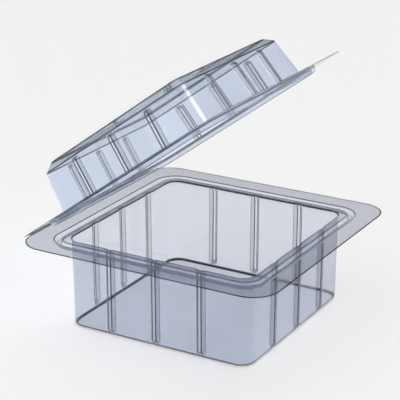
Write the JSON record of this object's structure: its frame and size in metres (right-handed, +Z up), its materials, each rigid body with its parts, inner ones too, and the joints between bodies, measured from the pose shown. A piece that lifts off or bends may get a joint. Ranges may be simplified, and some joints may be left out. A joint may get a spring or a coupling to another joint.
{
  "type": "hinged clamshell food pack",
  "caption": "Clear square food pack formed from thin sheet: ribbed tub with a wide flat flange, a sealing channel and a domed lid hinged along one edge.",
  "frame": {"origin": "middle of the tray's flat base, at the height of the surface that it stands on", "axes": "+Z up out of the tray, X along the hinge, hinge at the +Y side, mouth opens towards -Y"},
  "size_m": [0.254, 0.2544, 0.246],
  "materials": {
    "clear_sheet": "gloss"
  },
  "bodies": {
    "tray": {"tray": "clear_sheet"},
    "lid": {"lid": "clear_sheet"}
  },
  "joints": [
    {"name": "lid_hinge", "type": "hinge", "parent": "tray", "child": "lid", "pos_m": [0, 0.12715, 0.08465], "axis": [-1, 0, 0], "range_deg": [-36.35, 143.65]}
  ]
}
